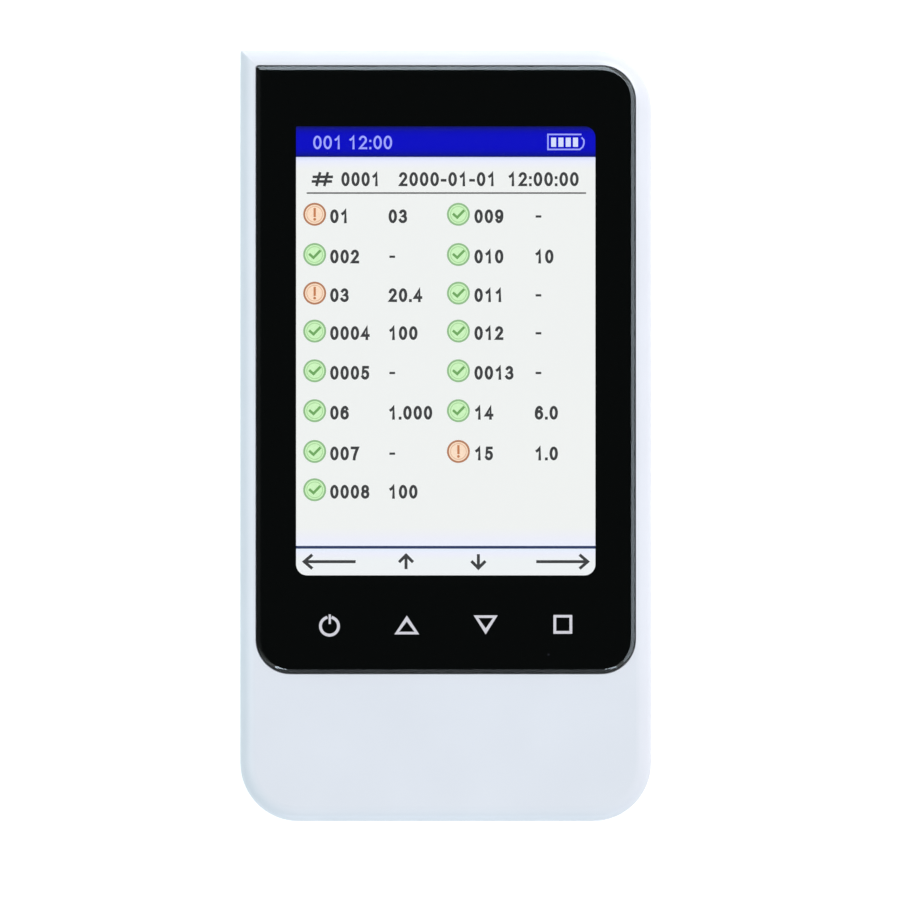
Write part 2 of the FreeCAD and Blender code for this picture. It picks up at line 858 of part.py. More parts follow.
def drive_rack():
    """The straight rack along the tray's side."""
    side = tray_width / 2
    slope = math.tan(math.radians(pressure_angle))
    tip = pitch_line + (1 - tip_relief_share) * gear_module
    half_pitch = (tooth_pitch / 2 - tooth_thinning) / 2
    half_root = half_pitch + (pitch_line - rack_root) * slope
    half_tip = half_pitch - (tip - pitch_line) * slope
    last = math.ceil(tray_travel / tooth_pitch) + rack_spare_teeth
    centres = [gear_y + (n + 1 / 2) * tooth_pitch for n in range(-rack_spare_teeth, last)]
    y0 = centres[0] - tooth_pitch / 2
    y1 = centres[-1] + tooth_pitch / 2
    points = [(side, y0), (rack_root, y0)]
    for y in centres:
        points += [(rack_root, y - half_root), (tip, y - half_tip)]
        points += [(tip, y + half_tip), (rack_root, y + half_root)]
    points += [(rack_root, y1), (side, y1)]
    outline = [Vector(x, y, rack_bottom) for x, y in points]
    return prism(outline, [0] * len(outline), Vector(0, 0, rack_top - rack_bottom))


def involute(angle):
    """The involute function of a pressure angle."""
    return math.tan(angle) - angle


def polar(x, y, z, radius, angle):
    """A place at a radius and an angle around an upright axis."""
    return Vector(x + radius * math.cos(angle), y + radius * math.sin(angle), z)


def gear_disc(x, y, teeth, phase, z0, z1):
    """A spur gear with involute teeth, one of them centred on the phase angle."""
    pitch_radius = teeth * gear_module / 2
    base = pitch_radius * math.cos(math.radians(pressure_angle))
    tip = pitch_radius + (1 - tip_relief_share) * gear_module
    root = pitch_radius - (1 + root_clearance_share) * gear_module
    thickness = tooth_pitch / 2 - tooth_thinning
    at_pitch = thickness / (2 * pitch_radius) + involute(math.radians(pressure_angle))
    radii = [root + (tip - root) * n / flank_steps for n in range(flank_steps + 1)]
    halves = [at_pitch - involute(math.acos(min(base / radius, 1))) for radius in radii]
    points = []
    for tooth in range(teeth):
        centre = math.radians(phase) + tooth * math.tau / teeth
        points += [polar(x, y, z0, radius, centre - half) for radius, half in zip(radii, halves)]
        points += [polar(x, y, z0, radius, centre + half) for radius, half in zip(radii[::-1], halves[::-1])]
    return prism(points, [0] * len(points), Vector(0, 0, z1 - z0))


def drive_gear():
    """The gear between the motor's pinion and the rack."""
    disc = gear_disc(gear_x, gear_y, drive_teeth, 180.0, gear_bottom, gear_top)
    hub = post(gear_x, gear_y, frame_top + slide_gap, gear_top, gear_hub_radius)
    bore = post(gear_x, gear_y, frame_top, gear_top, axle_radius + axle_running_fit)
    return joined([disc, hub]).cut(bore)


def gear_axle():
    """The fixed pin that the drive gear turns on, with the head that keeps the gear on it."""
    head_low = gear_top + axle_head_gap
    pin = post(gear_x, gear_y, frame_bottom, head_low, axle_radius)
    head = post(gear_x, gear_y, head_low, head_low + axle_head_height, axle_head_radius)
    return joined([pin, head])


def motor_shaft():
    """The motor's shaft."""
    return post(motor_x, motor_y, frame_top - shaft_depth, gear_top + shaft_tip, shaft_radius)


def motor_pinion():
    """The pinion pressed on the motor's shaft."""
    phase = pinion_angle + 180.0 + 180.0 / pinion_teeth
    disc = gear_disc(motor_x, motor_y, pinion_teeth, phase, gear_bottom, gear_top)
    return disc.cut(post(motor_x, motor_y, gear_bottom, gear_top, shaft_radius))


def stepper_motor():
    """The motor's can, flange, bearing boss and terminal block."""
    low = frame_bottom - motor_height
    can = post(motor_x, motor_y, low, frame_bottom, motor_radius)
    boss = post(motor_x, motor_y, frame_bottom, frame_top - motor_boss_gap, motor_boss_radius)
    flange = brick(motor_x, motor_y, motor_flange_width, motor_flange_length,
                   frame_bottom - motor_flange_thickness, frame_bottom)
    middle = low + motor_height / 2
    terminal = block(motor_face, motor_x - motor_radius / 2, motor_y - motor_terminal_width / 2,
                     motor_y + motor_terminal_width / 2, middle - motor_terminal_height / 2,
                     middle + motor_terminal_height / 2)
    bearing_low = frame_top - shaft_depth - slide_gap
    bearing = post(motor_x, motor_y, bearing_low, frame_top, shaft_radius + axle_running_fit)
    return joined([can, boss, flange, terminal]).cut(bearing)


def motor_ribbon():
    """The motor's ribbon, straight up to the main board."""
    low = frame_bottom - (motor_height + motor_terminal_height) / 2
    x = motor_face - ribbon_thickness / 2
    return brick(x, motor_y, ribbon_thickness, motor_ribbon_width, low, board_bottom)


def inner_frame():
    """The frame that carries the tray's rails, the drive, the optics and the main board."""
    plate = cut_block(frame_half_width, frame_low, frame_high, frame_bottom, frame_top, frame_corner_cut)
    adds = []
    for side in (-1, 1):
        wall_xs = sorted((side * rail_inner, side * rail_outer))
        lip_xs = sorted((side * rail_inner, side * (rail_inner - rail_over_tongue)))
        adds.append(block(*wall_xs, frame_low, frame_high, frame_top, rail_top))
        adds.append(block(*lip_xs, frame_low, frame_high, rail_top - rail_lip, rail_top))
    adds.append(block(-rail_outer, rail_outer, frame_high - rail_wall, frame_high, frame_top, rail_top))
    adds += [brick(x, y, post_size, post_size, frame_top, board_bottom) for x, y in board_posts]
    adds += [brick(x, y, post_size, post_size, frame_top, head_bottom) for x, y in head_ears]
    for n in range(floor_rib_count):
        x = (n - (floor_rib_count - 1) / 2) * floor_rib_pitch - floor_rib_offset
        adds.append(block(x - rib_thickness / 2, x + rib_thickness / 2, frame_low + rib_thickness,
                          bay_low - 2 * rib_thickness, frame_bottom - frame_rib_height, frame_bottom))
    frame = joined([plate] + adds)
    gap = slide_gap + contact_thickness
    spring_x = contact_start + contact_room / 2
    spring_width = contact_room + 2 * gap
    spring_y = bay_low + (contact_thickness + gap) / 2
    return frame.cut([
        post(motor_x, motor_y, frame_bottom, frame_top, motor_boss_radius + motor_boss_gap),
        post(gear_x, gear_y, frame_bottom, frame_top, axle_radius + seat_gap),
        brick(spring_x, spring_y, spring_width, contact_thickness + 3 * gap, frame_bottom, frame_top),
        brick(motor_face, motor_y, 2 * gap + 2 * ribbon_thickness, motor_ribbon_width + 2 * slide_gap,
              frame_bottom, frame_top),
    ])


def rubber_feet():
    """The four round feet, stuck flat on the back."""
    return group([post(x, y, 0, back, foot_radius) for x, y in feet])


def battery_door():
    """The sliding door on the back, with its side tongues and grip grooves."""
    plate, tongues = door_plate(0, back - overrun, door_top, half_length - door_tongue_setback)
    plate = plate.common(case_solid())
    door = joined([plate, tongues])
    cuts = []
    for n in range(door_grip_count):
        y = half_length - door_grip_from_end - n * door_grip_pitch
        cuts.append(block(-door_grip_length / 2, door_grip_length / 2, y - door_grip_width, y,
                          back - overrun, back + door_grip_depth))
    return door.cut(cuts)


def battery_pack():
    """The flat battery with its contact pads."""
    pack = cut_block(battery_width / 2, battery_low, battery_high, battery_bottom, battery_top,
                     battery_corner_cut)
    cuts = []
    middle = battery_bottom + battery_thickness / 2
    for place in contact_xs:
        cuts.append(block(place - contact_width / 2, place + contact_width / 2, battery_low - overrun,
                          battery_low + contact_pad_depth, middle - contact_bow, middle + contact_bow))
    return pack.cut(cuts)


def battery_pad():
    """The foam that presses the battery against its door."""
    x = battery_width / 2 - foam_inset
    return block(-x, x, battery_low + foam_inset, battery_high - foam_inset, battery_top, frame_bottom)


def battery_contacts():
    """The spring strips from the battery's pads up to the main board."""
    middle = battery_bottom + battery_thickness / 2
    straight = bay_low + contact_thickness + contact_gap
    tip = battery_low - contact_thickness / 2 - contact_gap
    bend = contact_thickness / 2
    route = [(straight, board_bottom), (straight, middle + contact_bow), (tip, middle)]
    route.append((straight, middle - contact_bow))
    return group([ribbon(x, contact_width, contact_thickness, bend, route) for x in contact_xs])


def main_board():
    """The main circuit board."""
    return cut_block(frame_half_width, board_low, board_high, board_bottom, board_top, board_corner_cut)


def main_processor():
    """The processor and its memory, on the board's upper side."""
    processor = brick(0, -chip_below_middle, chip_size, chip_size, board_top, board_top + chip_height)
    memory_y = -chip_below_middle + (chip_size + memory_length) / 2 + memory_gap
    memory = brick(0, memory_y, memory_width, memory_length, board_top, board_top + memory_height)
    return group([processor, memory])


def power_parts():
    """The motor driver, charger chips and coils on the board's lower side."""
    x = frame_half_width - 3 * coil_size / 2
    kinds = [(small_chip_size, small_chip_height)] * small_chip_count
    kinds += [(coil_size, coil_height)] * coil_count
    parts = []
    for n, (size, height) in enumerate(kinds, 1):
        parts.append(brick(x, n * small_chip_pitch, size, size, board_bottom - height, board_bottom))
    return group(parts)


def board_connectors():
    """The four ribbon connectors."""
    top = board_top + connector_height
    width = key_ribbon_width + connector_length
    front_y = board_low + 3 * connector_length / 2
    back_y = display_high - display_top_border - connector_length / 2
    return group([
        brick(-display_ribbon_offset, front_y, width, connector_length, board_top, top),
        brick(0, front_y, width, connector_length, board_top, top),
        brick(-display_ribbon_offset, back_y, display_ribbon_width, connector_length, board_top, top),
        block(motor_face, motor_face + connector_length, motor_y - width / 2, motor_y + width / 2,
              board_bottom - connector_height, board_bottom),
    ])


def buzzer():
    """The sounder under the main board."""
    x = buzzer_size / 2 - frame_half_width
    y = board_low + buzzer_size
    return brick(x, y, buzzer_size, buzzer_size, board_bottom - buzzer_height, board_bottom)


def charging_socket():
    """The charging socket on the main board's end."""
    x = socket_width / 2
    end = half_length - socket_recess
    start = end - socket_length
    top = board_top + socket_height
    body = end_block(-x, x, board_top, top, start, end, socket_radius)
    mouth = block(-x + socket_wall, x - socket_wall, start + socket_wall, end + overrun,
                  board_top + socket_wall, top - socket_wall)
    middle = board_top + socket_height / 2
    tongue = block(-x + 2 * socket_tongue, x - 2 * socket_tongue, start, end - socket_tongue,
                   middle - socket_tongue / 2, middle + socket_tongue / 2)
    return joined([body.cut(mouth), tongue])


def tray_sensor():
    """The light gate that the tray's flag reaches into."""
    tip = -tray_width / 2 - flag_reach
    mouth = tip + sensor_overlap
    inner = tip - sensor_slot_gap
    outer = inner - sensor_back
    slot_low = flag_bottom - sensor_slot_gap
    slot_high = flag_bottom + flag_thickness + sensor_slot_gap
    top = slot_high + sensor_arm
    y0 = flag_middle - sensor_length / 2
    gate = tray_outline([(outer, frame_top), (mouth, frame_top), (mouth, slot_low), (inner, slot_low),
                         (inner, slot_high), (mouth, slot_high), (mouth, top), (outer, top)],
                        y0, y0 + sensor_length)
    pins = [brick(outer + sensor_back / 2, flag_middle + side * sensor_length / 4, sensor_pin, sensor_pin,
                  top, board_bottom) for side in (-1, 1)]
    return joined([gate] + pins)


def optics_housing():
    """The dark block over the tray, hollowed as a light chamber."""
    adds = []
    for ear_x, ear_y in head_ears:
        adds.append(brick(ear_x, ear_y, head_ear_width, head_ear_width, head_bottom, head_floor))
    body = joined([brick(0, head_y, head_width, head_length, head_bottom, head_top)] + adds)
    return body.cut([
        brick(0, head_y, head_width - 2 * head_wall, head_length - 2 * head_wall, head_floor, head_top),
        brick(0, head_y, aperture_width, aperture_length, head_bottom, head_top),
        window_block(0),
    ])


def window_block(gap):
    """The pocket of the optics' window, or the window itself inside a gap."""
    margin = 2 * (window_margin - gap)
    return brick(0, head_y, aperture_width + margin, aperture_length + margin,
                 head_bottom, head_bottom + window_thickness)


def optics_window():
    """The clear window over the strip."""
    return window_block(seat_gap)


def sensor_board():
    """The board that closes the light chamber."""
    inset = 2 * sensor_board_inset
    top = head_top + sensor_board_thickness
    return brick(0, head_y, head_width - inset, head_length - inset, head_top, top)


def sensor_lamps():
    """The ring of lamps that light the strip."""
    lamps = []
    for n in range(lamp_count):
        place = polar(0, head_y, head_top, lamp_ring_radius, n * math.tau / lamp_count)
        lamps.append(brick(place.x, place.y, lamp_size, lamp_size, head_top - lamp_height, head_top))
    return group(lamps)


def photodiode():
    """The light sensor in the middle of the lamps."""
    return brick(0, head_y, photodiode_size, photodiode_size, head_top - photodiode_height, head_top)


pieces = [
    front_shell, rear_shell, rubber_feet,
    cover_glass, printed_mask, glass_adhesive,
    display_cell, display_backlight, display_gasket, display_ribbon,
    key_board, key_lamps, key_guides, key_ribbon,
    inner_frame, tray_sensor,
    strip_tray, tray_front, reference_tile, drive_rack,
    drive_gear, gear_axle, motor_shaft, motor_pinion,
    stepper_motor, motor_ribbon,
    optics_housing, optics_window, sensor_board, sensor_lamps, photodiode, sensor_ribbon,
    main_board, main_processor, power_parts, board_connectors, buzzer,
    charging_socket,
    battery_pack, battery_pad, battery_contacts, battery_door,
]

os.makedirs("parts", exist_ok=True)
for piece in pieces:
    shape = piece()
    shape.exportStep("parts/" + piece.__name__ + ".step")
    state = "valid" if shape.isValid() else "NOT VALID"
    print(piece.__name__, len(shape.Solids), state, round(shape.Volume, 1))
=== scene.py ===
import json
import math

import bmesh
import bpy
from mathutils import Matrix, Vector


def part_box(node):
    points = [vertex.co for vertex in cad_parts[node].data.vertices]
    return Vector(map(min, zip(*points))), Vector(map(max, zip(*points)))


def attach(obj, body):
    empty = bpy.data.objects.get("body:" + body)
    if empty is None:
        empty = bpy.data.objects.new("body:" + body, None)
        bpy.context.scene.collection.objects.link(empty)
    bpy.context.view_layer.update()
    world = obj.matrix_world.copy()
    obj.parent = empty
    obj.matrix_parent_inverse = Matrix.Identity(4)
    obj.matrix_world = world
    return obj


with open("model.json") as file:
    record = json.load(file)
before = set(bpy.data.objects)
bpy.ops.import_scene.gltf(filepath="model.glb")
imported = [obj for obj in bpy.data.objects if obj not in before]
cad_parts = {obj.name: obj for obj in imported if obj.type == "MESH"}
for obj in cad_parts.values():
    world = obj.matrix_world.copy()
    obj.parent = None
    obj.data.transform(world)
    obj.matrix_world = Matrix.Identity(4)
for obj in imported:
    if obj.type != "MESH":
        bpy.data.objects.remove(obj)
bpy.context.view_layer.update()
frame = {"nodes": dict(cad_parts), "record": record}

# The photograph's frame: its side in pixels, the pixel of the case's middle, and a pixel in metres
PIXELS = 900
MIDDLE = (445.75, 435.75)
PIXEL = 0.0001639
# The lit screen: its edges in pixels, as this camera sees them, and in metres
SCREEN_LEFT, SCREEN_RIGHT, SCREEN_TOP, SCREEN_BOTTOM = 295.9, 595.7, 126.0, 575.7
SCREEN_X, SCREEN_HIGH, SCREEN_LOW = 0.02448, 0.0506, -0.02284
# How strongly the screen and the key icons shine, where the key icons' glow is painted light, and how fine
# their unevenness is
GLOW = 1.1
PIXEL_GRAIN = 2600.0
# Print and pixels are near black where they don't shine
UNLIT = (0.001, 0.001, 0.001, 1.0)


# Colours
def linear(red, green, blue):
    """A screen colour of 0 to 255 as the linear values that Blender takes."""
    out = []
    for part in (red, green, blue):
        part = part / 255
        out.append(part / 12.92 if part <= 0.04045 else ((part + 0.055) / 1.055) ** 2.4)
    return tuple(out) + (1.0,)


def scaled(colour, share, lift=0.0):
    """A colour made brighter or darker by a share, and no brighter than white."""
    return tuple(min(c * share + lift, 1.0) for c in colour[:3]) + (1.0,)


# Shader nodes
def add_node(tree, kind, inputs, **settings):
    """A shader node. Each input gets a value, or the output that feeds it."""
    node = tree.nodes.new(kind)
    for key, value in settings.items():
        setattr(node, key, value)
    for key, value in inputs.items():
        if isinstance(value, bpy.types.NodeSocket):
            tree.links.new(value, node.inputs[key])
        else:
            node.inputs[key].default_value = value
    return node


def map_range(tree, value, start, stop, **settings):
    """Takes a value from one span of low and high to another."""
    inputs = {"Value": value, "From Min": start[0], "From Max": start[1],
              "To Min": stop[0], "To Max": stop[1]}
    return add_node(tree, "ShaderNodeMapRange", inputs, **settings).outputs["Result"]


def math_node(tree, operation, first, second):
    """Two values added, multiplied or compared."""
    return add_node(tree, "ShaderNodeMath", {0: first, 1: second}, operation=operation).outputs[0]


def ramp(tree, factor, stops):
    """A run of colours: each stop is a place from 0 to 1 and its colour."""
    node = add_node(tree, "ShaderNodeValToRGB", {"Fac": factor})
    elements = node.color_ramp.elements
    while len(elements) < len(stops):
        elements.new(0.5)
    for element, (position, colour) in zip(elements, stops):
        element.position = position
        element.color = colour
    return node.outputs["Color"]


class Build:
    """A Principled material whose detail comes from noise nodes."""

    def __init__(self, name):
        self.material = bpy.data.materials.new(name)
        self.material.use_nodes = True
        self.tree = self.material.node_tree
        self.shader = self.tree.nodes["Principled BSDF"]
        self.place = add_node(self.tree, "ShaderNodeTexCoord", {}).outputs["Object"]

    def set(self, **values):
        """Fixed values for inputs of the shader."""
        for key, value in values.items():
            self.shader.inputs[key.replace("_", " ")].default_value = value
        return self

    def feed(self, target, source):
        """A node's output as one input of the shader."""
        self.tree.links.new(source, self.shader.inputs[target])
        return self

    def noise(self, scale, detail=3.0, stretch=None):
        place = self.place
        if stretch:
            mapping = add_node(self.tree, "ShaderNodeMapping", {"Scale": stretch, "Vector": place})
            place = mapping.outputs["Vector"]
        inputs = {"Scale": scale, "Detail": detail, "Vector": place}
        return add_node(self.tree, "ShaderNodeTexNoise", inputs).outputs["Fac"]

    def colour(self, colour, spread, scale, target="Base Color", stretch=None):
        """A colour that drifts a little either way over the surface."""
        stops = [(0.3, scaled(colour, 1 - spread)), (0.7, scaled(colour, 1 + spread))]
        return self.feed(target, ramp(self.tree, self.noise(scale, stretch=stretch), stops))

    def rough(self, low, high, scale, stretch=None):
        """A polish that wanders between two roughnesses."""
        noise = self.noise(scale, stretch=stretch)
        return self.feed("Roughness", map_range(self.tree, noise, (0.0, 1.0), (low, high)))

    def bump(self, scale, strength, distance, stretch=None):
        """A fine grain, as deep as a distance in metres."""
        height = self.noise(scale, 2.0, stretch)
        inputs = {"Strength": strength, "Distance": distance, "Height": height}
        return self.feed("Normal", add_node(self.tree, "ShaderNodeBump", inputs).outputs["Normal"])

    def glowing(self):
        """The finished material, with its glow as all that it sends out."""
        self.set(Base_Color=UNLIT, Roughness=0.9, Specular_IOR_Level=0.0, Emission_Strength=GLOW)
        return self.material


# Materials
def moulded(name, colour, low, high, grain=4200.0, depth=0.000012):
    """Moulded plastic: a faint drift of colour, an uneven satin, a fine grain."""
    build = Build(name).colour(colour, 0.018, 55.0).rough(low, high, 160.0)
    return build.bump(grain, 0.18, depth).material


def metal(name, colour, low=0.22, high=0.38):
    """Drawn or turned metal with fine lines along one way."""
    drawn = (1.0, 1.0, 12.0)
    build = Build(name).colour(colour, 0.06, 900.0, stretch=drawn).rough(low, high, 1500.0, drawn)
    return build.bump(2600.0, 0.12, 0.00001, drawn).set(Metallic=1.0).material


def rubber(name, colour):
    """Rubber or foam: dull, with an open grain."""
    build = Build(name).colour(colour, 0.12, 700.0).rough(0.62, 0.82, 900.0)
    return build.bump(5200.0, 0.35, 0.00003).set(Specular_IOR_Level=0.35).material


def laminate(name, colour):
    """Circuit board: solder mask over faint tracks."""
    build = Build(name)
    inputs = {"Scale": 420.0, "Mortar Size": 0.06, "Color1": colour, "Color2": scaled(colour, 0.86),
              "Mortar": scaled(colour, 1.5, 0.004), "Vector": build.place}
    build.feed("Base Color", add_node(build.tree, "ShaderNodeTexBrick", inputs).outputs["Color"])
    return build.rough(0.3, 0.45, 800.0).bump(1800.0, 0.1, 0.00001).material


def film(name, colour):
    """Amber ribbon cable with its copper lines showing through."""
    build = Build(name)
    inputs = {"Scale": 320.0, "Distortion": 0.0, "Vector": build.place}
    wave = add_node(build.tree, "ShaderNodeTexWave", inputs, wave_type="BANDS", bands_direction="X")
    stops = [(0.35, colour), (0.65, scaled(colour, 1.35))]
    build.feed("Base Color", ramp(build.tree, wave.outputs["Fac"], stops))
    return build.rough(0.3, 0.42, 500.0).material


def clear(name, tint, low, high, ior=1.5):
    """Clear glass or resin with the faintest uneven polish."""
    build = Build(name).colour(tint, 0.004, 40.0).rough(low, high, 220.0)
    return build.set(Transmission_Weight=1.0, IOR=ior).material


def lit(name, colour, spread=0.05, grain=PIXEL_GRAIN):
    """Pixels lit from behind, and print under the glass whose glow is painted light: the colour glows,
    with a fine unevenness.
    """
    return Build(name).colour(linear(*colour), spread, grain, "Emission Color").glowing()


dress = {
    "case_plastic": moulded("case_white", linear(231, 226, 235), 0.28, 0.38),
    "cover_glass": clear("cover_glass", (0.985, 0.99, 1.0, 1.0), 0.0, 0.015),
    "black_print": moulded("black_print", linear(28, 29, 31), 0.35, 0.5, 3000.0, 0.000004),
    "adhesive": rubber("adhesive", linear(40, 40, 42)),
    "display": moulded("display_glass", linear(30, 33, 38), 0.08, 0.14, 3000.0, 0.000002),
    "steel": metal("steel", linear(196, 197, 199)),
    "white_plastic": moulded("white_plastic", linear(226, 227, 228), 0.4, 0.52),
    "dark_plastic": moulded("dark_plastic", linear(38, 39, 42), 0.45, 0.6),
    "frame_plastic": moulded("frame_plastic", linear(150, 155, 162), 0.42, 0.55),
    "board": laminate("board", linear(22, 92, 52)),
    "chip": moulded("chip", linear(34, 35, 37), 0.5, 0.62, 5200.0),
    "light_guide": clear("light_guide", (0.96, 0.975, 1.0, 1.0), 0.3, 0.45, 1.49),
    "lamp": clear("lamp", (1.0, 0.97, 0.82, 1.0), 0.12, 0.2),
    "polyimide": film("polyimide", linear(176, 96, 30)),
    "rubber": rubber("rubber", linear(58, 59, 62)),
    "tray_plastic": moulded("tray_plastic", linear(232, 234, 238), 0.3, 0.42),
    "tile": moulded("tile", linear(245, 245, 242), 0.12, 0.18),
    "acetal": moulded("acetal", linear(236, 231, 218), 0.34, 0.46),
    "brass": metal("brass", linear(214, 178, 106)),
    "battery_wrap": moulded("battery_wrap", linear(52, 92, 156), 0.2, 0.3, 1500.0, 0.00002),
    "foam": rubber("foam", linear(70, 70, 72)),
    "gold": metal("gold", linear(226, 190, 118), 0.16, 0.28),
    "optic_glass": clear("optic_glass", (0.985, 0.99, 1.0, 1.0), 0.0, 0.01),
}
for subpart in frame["record"]["subparts"]:
    node = frame["nodes"][subpart["node"]]
    node.data.materials.clear()
    node.data.materials.append(dress[subpart["material_slot"]])


# Places
def spot(u, v):
    """A pixel of the photograph as a place on the case's front."""
    return (u - MIDDLE[0]) * PIXEL, (MIDDLE[1] - v) * PIXEL


def screen_spot(u, v):
    """A pixel of the photograph as a place on the lit screen."""
    x = -SCREEN_X + (u - SCREEN_LEFT) * 2 * SCREEN_X / (SCREEN_RIGHT - SCREEN_LEFT)
    y = SCREEN_HIGH - (v - SCREEN_TOP) * (SCREEN_HIGH - SCREEN_LOW) / (SCREEN_BOTTOM - SCREEN_TOP)
    return x, y


# Outlines
def bend(x, y, rx, ry, start, stop, count=10):
    """Points along an arc of an ellipse, between two angles in degrees."""
    steps = [math.radians(start + (stop - start) * n / count) for n in range(count + 1)]
    return [(x + rx * math.cos(a), y + ry * math.sin(a)) for a in steps]


def loop(x, y, rx, ry, count=20):
    """Points all round an ellipse."""
    return bend(x, y, rx, ry, 0, 360, count)[:-1]


def circle(u, v, radius, count=40):
    """Points all round a circle."""
    return loop(u, v, radius, radius, count)


def oblong(left, right, top, bottom):
    """The corners of an upright oblong."""
    return [(left, top), (right, top), (right, bottom), (left, bottom)]


def rounded(left, right, top, bottom, radii, steps=8):
    """An oblong with four radii: top left, top right, bottom right, bottom left."""
    points = []
    ways = ((1, 1, 180), (-1, 1, 270), (-1, -1, 0), (1, -1, 90))
    for (u, v), (across, down, start), radius in zip(oblong(left, right, top, bottom), ways, radii):
        points += bend(u + across * radius, v + down * radius, radius, radius, start, start + 90, steps)
    return points


# The width of each figure as a share of its height, and its strokes in a box of 1 by 1. Each stroke
# says whether it is closed, and its points.
WIDE = 0.61
SIX = [
    (True, loop(0.5, 0.31, 0.5, 0.31)),
    (False, bend(0.58, 0.46, 0.58, 0.54, 190, 92) + bend(0.56, 0.72, 0.38, 0.28, 80, 25, 4)),
]
FIGURES = {
    " ": (0.2, []),
    "0": (WIDE, [(True, loop(0.5, 0.5, 0.5, 0.5, 24))]),
    "1": (WIDE, [(False, [(0.16, 0.74), (0.4, 0.82), (0.62, 1.0), (0.62, 0.0)])]),
    "2": (WIDE, [(False, bend(0.5, 0.72, 0.46, 0.28, 165, -30) + [(0.03, 0.0), (1.0, 0.0)])]),
    "3": (WIDE, [(False, bend(0.48, 0.76, 0.42, 0.24, 155, -90)
                  + bend(0.46, 0.27, 0.52, 0.27, 80, -155))]),
    "4": (0.63, [(False, [(0.74, 0.0), (0.74, 1.0), (0.0, 0.28), (1.0, 0.28)])]),
    "5": (WIDE, [(False, [(0.92, 1.0), (0.2, 1.0), (0.08, 0.5)]
                  + bend(0.48, 0.32, 0.5, 0.32, 120, -150))]),
    "6": (WIDE, SIX),
    "7": (0.6, [(False, [(0.0, 1.0), (1.0, 1.0), (0.68, 0.62), (0.45, 0.25), (0.38, 0.0)])]),
    "8": (WIDE, [(True, loop(0.5, 0.76, 0.43, 0.24)), (True, loop(0.5, 0.27, 0.5, 0.27))]),
    "9": (WIDE, [(closed, [(1 - x, 1 - y) for x, y in points]) for closed, points in SIX]),
    "-": (0.4, [(False, [(0.0, 0.4), (1.0, 0.4)])]),
    ".": (0.19, [(False, [(0.5, 0.0), (0.5, 0.02)])]),
    ":": (0.19, [(False, [(0.5, 0.0), (0.5, 0.02)]), (False, [(0.5, 0.62), (0.5, 0.64)])]),
    "#": (0.75, [(False, [(0.2, 0.0), (0.36, 1.0)]), (False, [(0.62, 0.0), (0.78, 1.0)]),
                 (False, [(0.0, 0.3), (0.95, 0.3)]), (False, [(0.05, 0.7), (1.0, 0.7)])]),
}
# The gap after a figure, as a share of its height
FIGURE_GAP = 0.13


# Pieces
def piece(name, mesh, material):
    """Puts a mesh in the scene, dressed and riding on the case."""
    made = bpy.data.objects.new(name, mesh)
    bpy.context.collection.objects.link(made)
    made.data.materials.append(material)
    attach(made, "case")


class Sheet:
    """Flat shapes of one thickness gathered in one mesh."""

    def __init__(self, low, high, place=screen_spot):
        self.low, self.high, self.place = low, high, place
        self.bm = bmesh.new()

    def outline(self, points):
        """A filled outline given in pixels."""
        corners = [self.place(u, v) for u, v in points]
        area = sum(a[0] * b[1] - b[0] * a[1] for a, b in zip(corners, corners[1:] + corners[:1]))
        if area < 0:
            corners.reverse()
        low = [self.bm.verts.new((x, y, self.low)) for x, y in corners]
        high = [self.bm.verts.new((x, y, self.high)) for x, y in corners]
        self.bm.faces.new(high)
        self.bm.faces.new(low[::-1])
        for n in range(len(low)):
            m = (n + 1) % len(low)
            self.bm.faces.new((low[n], low[m], high[m], high[n]))

    def ribbon(self, one, other, closed=True):
        """The strip between two rows of points given in pixels."""
        rows = []
        for points, z in ((one, self.low), (one, self.high), (other, self.high), (other, self.low)):
            rows.append([self.bm.verts.new((*self.place(u, v), z)) for u, v in points])
        count = len(one)
        for a, b in zip(rows, rows[1:] + rows[:1]):
            for n in range(count if closed else count - 1):
                m = (n + 1) % count
                self.bm.faces.new((a[n], b[n], b[m], a[m]))
        if not closed:
            self.bm.faces.new([row[0] for row in rows])
            self.bm.faces.new([row[-1] for row in rows])

    def stroke(self, points, width, closed=False):
        """A line of one width along points in pixels, with mitred bends and square ends."""
        places = [Vector(point) for point in points]
        runs = [(b - a).normalized() for a, b in zip(places, places[1:] + places[:1])]
        if not closed:
            places[0] -= runs[0] * width / 2
            places[-1] += runs[-2] * width / 2
            runs[-1] = runs[-2]
        one, other = [], []
        for n, place in enumerate(places):
            behind = runs[n] if n == 0 and not closed else runs[n - 1]
            middle = (behind + runs[n]).normalized()
            reach = width / 2 / max(middle.dot(behind), 0.5)
            across = Vector((-middle.y, middle.x)) * reach
            one.append(place + across)
            other.append(place - across)
        self.ribbon(one, other, closed)

    def text(self, words, left, middle, height, weight, spread=1.0):
        """Plain figures drawn as strokes, each as wide as its share of the height."""
        base = middle + height / 2 - weight / 2
        for mark in words:
            share, strokes = FIGURES[mark]
            wide = share * height * spread
            for closed, points in strokes:
                self.stroke([(left + weight / 2 + x * (wide - weight), base - y * (height - weight))
                             for x, y in points], weight, closed)
            left += wide + FIGURE_GAP * height * spread

    def finish(self, name, material, slot="display"):
        """Makes the gathered shapes into one piece."""
        bmesh.ops.recalc_face_normals(self.bm, faces=self.bm.faces)
        mesh = bpy.data.meshes.new(name)
        self.bm.to_mesh(mesh)
        self.bm.free()
        piece(name, mesh, material)


# The screen's layers, each a hundredth of a millimetre, between the display cell and the glass
CELL_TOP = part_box("display_cell")[1][2]
LAYER = 0.00001
PAGE_LAYER, PRINT_LAYER, RING_LAYER, SIGN_LAYER = (
    (CELL_TOP + n * LAYER, CELL_TOP + (n + 1) * LAYER) for n in (1, 3, 5, 7))
